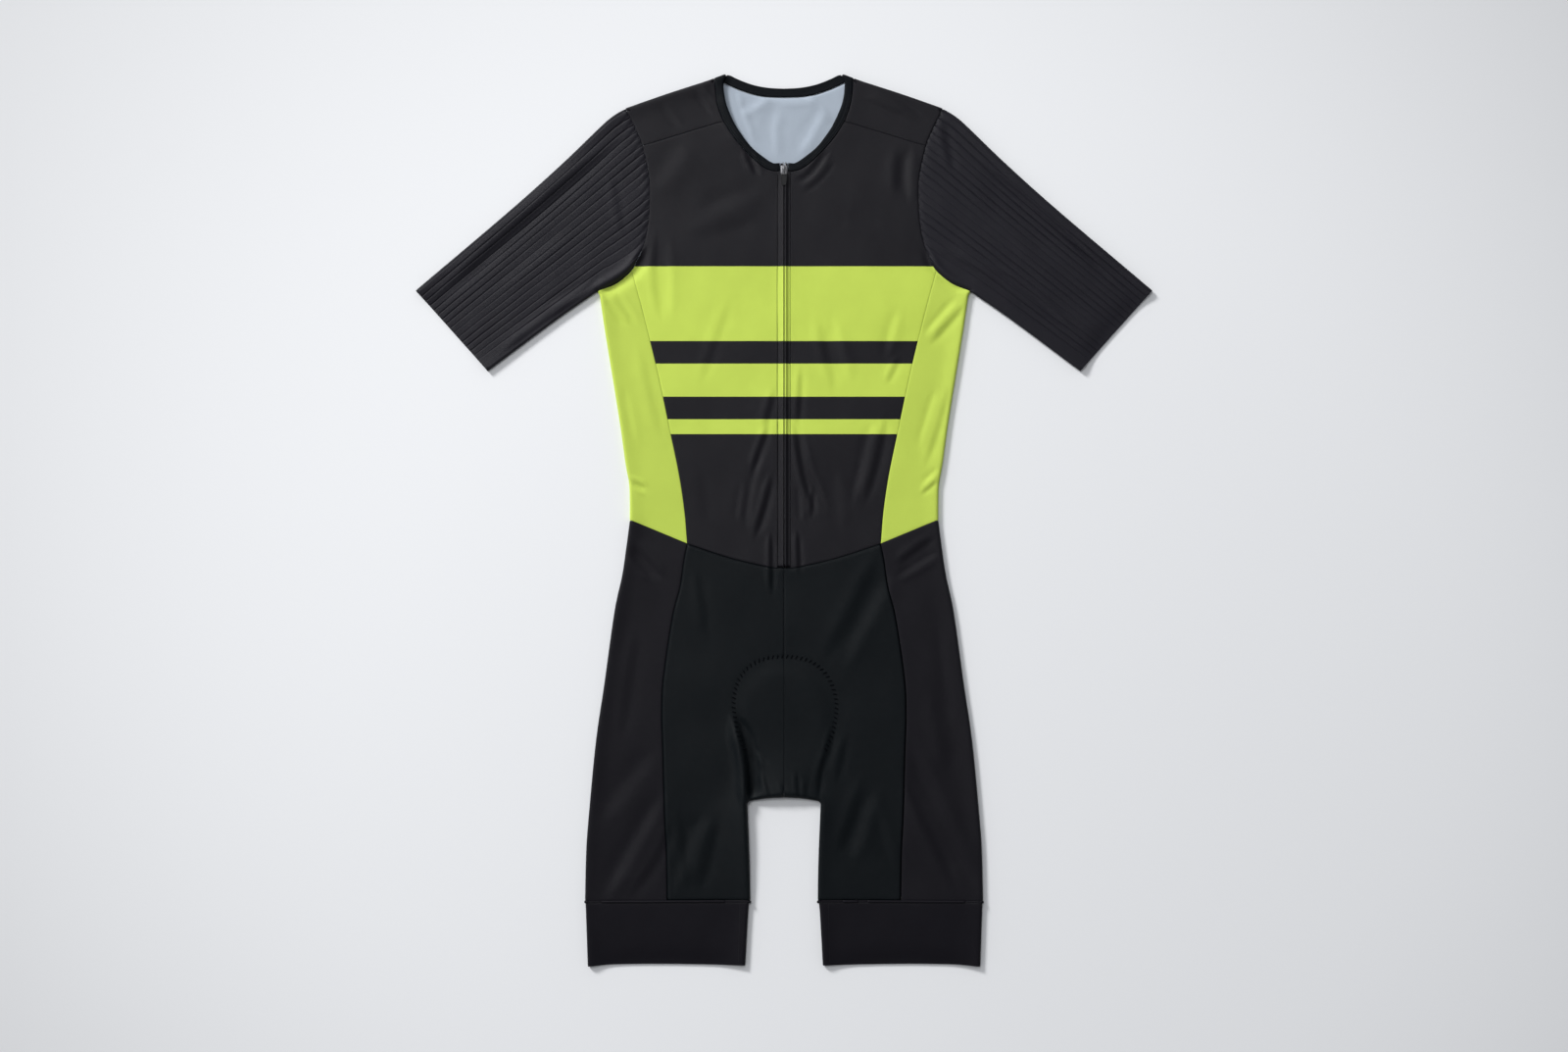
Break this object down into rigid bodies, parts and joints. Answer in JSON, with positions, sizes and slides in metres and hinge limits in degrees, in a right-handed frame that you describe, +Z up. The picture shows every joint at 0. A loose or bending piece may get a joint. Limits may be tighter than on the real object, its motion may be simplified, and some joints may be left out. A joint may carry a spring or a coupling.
{
  "type": "speedsuit",
  "caption": "One-piece cycling speedsuit with ribbed elbow-length sleeves, short legs, leg bands, seat pad and a full front zip, laid flat on its back.",
  "frame": {"origin": "middle of the laid-out garment's outline, on the surface it lies on", "axes": "+X towards the picture's right sleeve, +Y towards the neck, +Z up through the front layer"},
  "size_m": [0.8482, 1.0272, 0.0077],
  "materials": {
    "charcoal_knit": "smooth matt stretch knit",
    "ribbed_knit": "rounded lengthwise ribs",
    "lime_knit": "matt stretch knit",
    "shorts_knit": "dense smooth knit, slight sheen",
    "back_knit": "light inner face, fine mesh",
    "zip_tape": "woven tape over a coil",
    "black_binding": "folded binding, flatlock stitched",
    "pad_foam": "brushed cover over foam",
    "slider_metal": "silver lacquer",
    "grip_plastic": "moulded, fine grain"
  },
  "bodies": {
    "garment": {"front_left": "charcoal_knit", "front_right": "charcoal_knit", "side_left": "lime_knit", "side_right": "lime_knit", "sleeve_left": "ribbed_knit", "sleeve_right": "ribbed_knit", "zip_tape_left": "zip_tape", "zip_tape_right": "zip_tape", "leg_front_left": "shorts_knit", "leg_front_right": "shorts_knit", "leg_outer_left": "charcoal_knit", "leg_outer_right": "charcoal_knit", "seat_left": "charcoal_knit", "seat_right": "charcoal_knit", "gripper_left": "charcoal_knit", "gripper_right": "charcoal_knit", "back_torso": "back_knit", "neck_binding": "black_binding", "seat_pad": "pad_foam", "zip_slider": "slider_metal"},
    "pull_tab": {"zip_pull_link": "slider_metal", "zip_pull_grip": "grip_plastic"}
  },
  "joints": [
    {"name": "pull_flip", "type": "hinge", "parent": "garment", "child": "pull_tab", "pos_m": [0, 0.402, 0.00545], "axis": [-1, 0, 0], "range_deg": [0, 150]}
  ]
}
